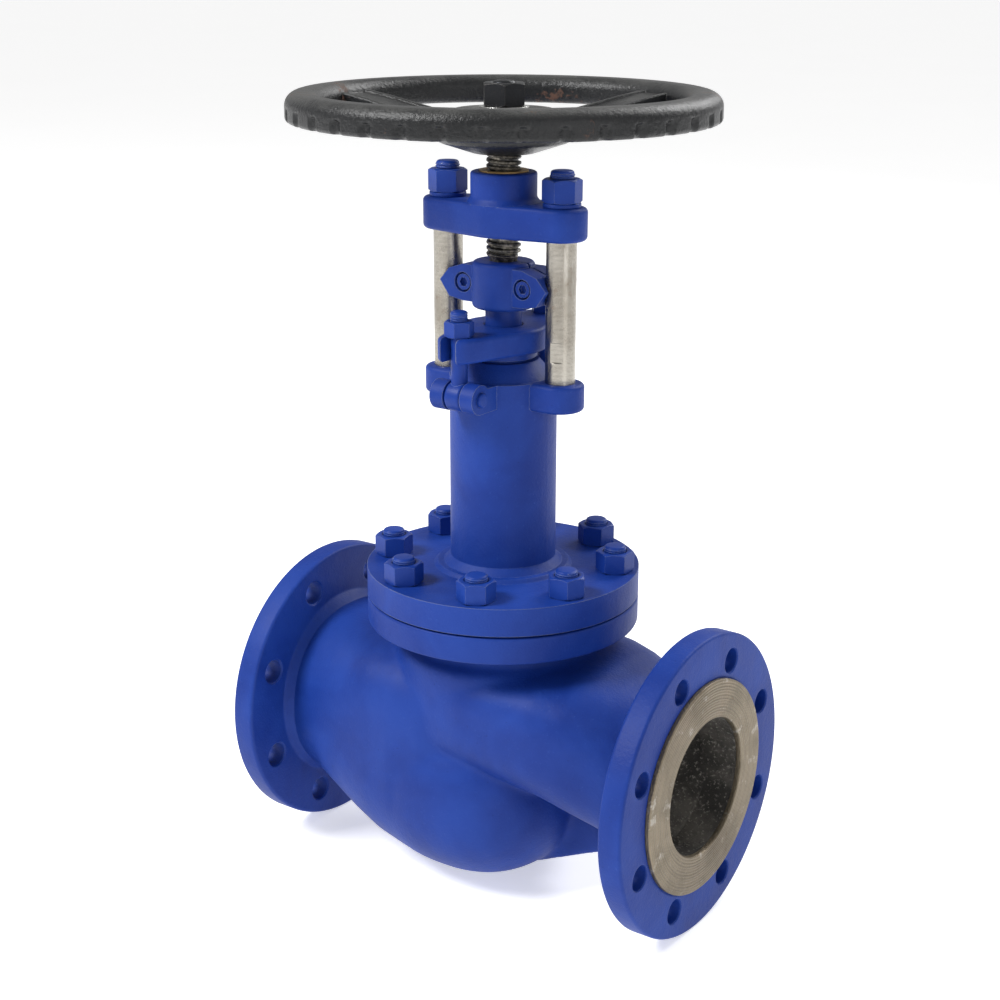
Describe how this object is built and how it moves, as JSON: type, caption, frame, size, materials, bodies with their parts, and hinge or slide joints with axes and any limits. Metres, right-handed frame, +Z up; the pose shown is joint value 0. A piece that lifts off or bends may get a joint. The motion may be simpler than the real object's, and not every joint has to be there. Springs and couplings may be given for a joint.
{
  "type": "globe valve",
  "caption": "Flanged bellows-sealed globe valve with a rising spindle, two-pillar yoke, gland packing and a three-spoke handwheel.",
  "frame": {"origin": "on the floor under the stem axis, half way between the end flange faces", "axes": "+Z up along the stem, +X along the flow towards the outlet flange"},
  "size_m": [0.35, 0.295, 0.5855],
  "materials": {
    "body_casting": "satin paint over cast grain",
    "seat_ring": "ground",
    "bonnet_gasket": "graphite laminate",
    "bonnet": "satin paint over cast grain",
    "bonnet_studs": "satin paint over machined steel",
    "bonnet_nuts": "satin paint over machined steel",
    "pillar_left": "polished bar with light scuffs",
    "pillar_right": "polished bar with light scuffs",
    "pillar_washers": "satin paint over machined steel",
    "pillar_nuts": "satin paint over machined steel",
    "yoke_bridge": "satin paint over cast grain",
    "yoke_bush": "turned bronze",
    "packing_rings": "graphite braid",
    "junk_ring": "turned bronze",
    "gland_follower": "concentric lathe grooves",
    "gland_flange": "satin paint over cast grain",
    "clevis_pin_front": "satin paint over machined steel",
    "clevis_pin_rear": "satin paint over machined steel",
    "bellows_top_ring": "thin formed steel",
    "bellows": "thin formed steel",
    "gland_bolt_front": "satin paint over machined steel",
    "gland_nut_front": "satin paint over machined steel",
    "gland_bolt_rear": "satin paint over machined steel",
    "gland_nut_rear": "satin paint over machined steel",
    "lower_stem": "polished bar with light scuffs",
    "bellows_bottom_ring": "thin formed steel",
    "clamp_front": "satin paint over cast grain",
    "clamp_rear": "satin paint over cast grain",
    "clamp_screws": "black oxide",
    "disc": "ground",
    "disc_retainer": "concentric lathe grooves",
    "spindle": "greasy cut thread",
    "thrust_ring": "turned bronze",
    "handwheel": "gloss black over cast grain, dust and rust patches",
    "wheel_washer": "bright zinc",
    "wheel_nut": "black oxide"
  },
  "bodies": {
    "valve_body": {"body_casting": "body_casting", "seat_ring": "seat_ring", "bonnet_gasket": "bonnet_gasket", "bonnet": "bonnet", "bonnet_studs": "bonnet_studs", "bonnet_nuts": "bonnet_nuts", "pillar_left": "pillar_left", "pillar_right": "pillar_right", "pillar_washers": "pillar_washers", "pillar_nuts": "pillar_nuts", "yoke_bridge": "yoke_bridge", "yoke_bush": "yoke_bush", "packing_rings": "packing_rings", "junk_ring": "junk_ring", "gland_follower": "gland_follower", "gland_flange": "gland_flange", "clevis_pin_front": "clevis_pin_front", "clevis_pin_rear": "clevis_pin_rear", "bellows_top_ring": "bellows_top_ring", "bellows": "bellows"},
    "stem": {"lower_stem": "lower_stem", "bellows_bottom_ring": "bellows_bottom_ring", "clamp_front": "clamp_front", "clamp_rear": "clamp_rear", "clamp_screws": "clamp_screws"},
    "valve_disc": {"disc": "disc", "disc_retainer": "disc_retainer"},
    "spindle_and_wheel": {"spindle": "spindle", "thrust_ring": "thrust_ring", "handwheel": "handwheel", "wheel_washer": "wheel_washer", "wheel_nut": "wheel_nut"},
    "gland_bolt_front": {"gland_bolt_front": "gland_bolt_front"},
    "gland_nut_front": {"gland_nut_front": "gland_nut_front"},
    "gland_bolt_rear": {"gland_bolt_rear": "gland_bolt_rear"},
    "gland_nut_rear": {"gland_nut_rear": "gland_nut_rear"}
  },
  "joints": [
    {"name": "handwheel_turn", "type": "hinge", "parent": "stem", "child": "spindle_and_wheel", "pos_m": [0, 0, 0.56], "axis": [0, 0, 1], "range_deg": [-990, 1260]},
    {"name": "stem_lift", "type": "slide", "parent": "valve_body", "child": "stem", "axis": [0, 0, 1], "range_m": [-0.0111, 0.0141], "deforming": ["bellows"]},
    {"name": "disc_swivel", "type": "hinge", "parent": "stem", "child": "valve_disc", "pos_m": [0, 0, 0.14], "axis": [0, 0, 1], "continuous": true},
    {"name": "gland_bolt_front_swing", "type": "hinge", "parent": "valve_body", "child": "gland_bolt_front", "pos_m": [0, -0.052, 0.376], "axis": [1, 0, 0], "range_deg": [0, 25]},
    {"name": "gland_nut_front_back_off", "type": "slide", "parent": "gland_bolt_front", "child": "gland_nut_front", "axis": [0, 0, 1], "range_m": [0, 0.0071]},
    {"name": "gland_bolt_rear_swing", "type": "hinge", "parent": "valve_body", "child": "gland_bolt_rear", "pos_m": [0, 0.052, 0.376], "axis": [-1, 0, 0], "range_deg": [0, 25]},
    {"name": "gland_nut_rear_back_off", "type": "slide", "parent": "gland_bolt_rear", "child": "gland_nut_rear", "axis": [0, 0, 1], "range_m": [0, 0.0071]}
  ],
  "couplings": [
    {"joint": "stem_lift", "follows": "handwheel_turn", "m_per_rad": 0.00063662},
    {"joint": "gland_nut_front_back_off", "follows": "gland_bolt_front_swing", "m_per_rad": 0.016},
    {"joint": "gland_nut_rear_back_off", "follows": "gland_bolt_rear_swing", "m_per_rad": 0.016}
  ]
}
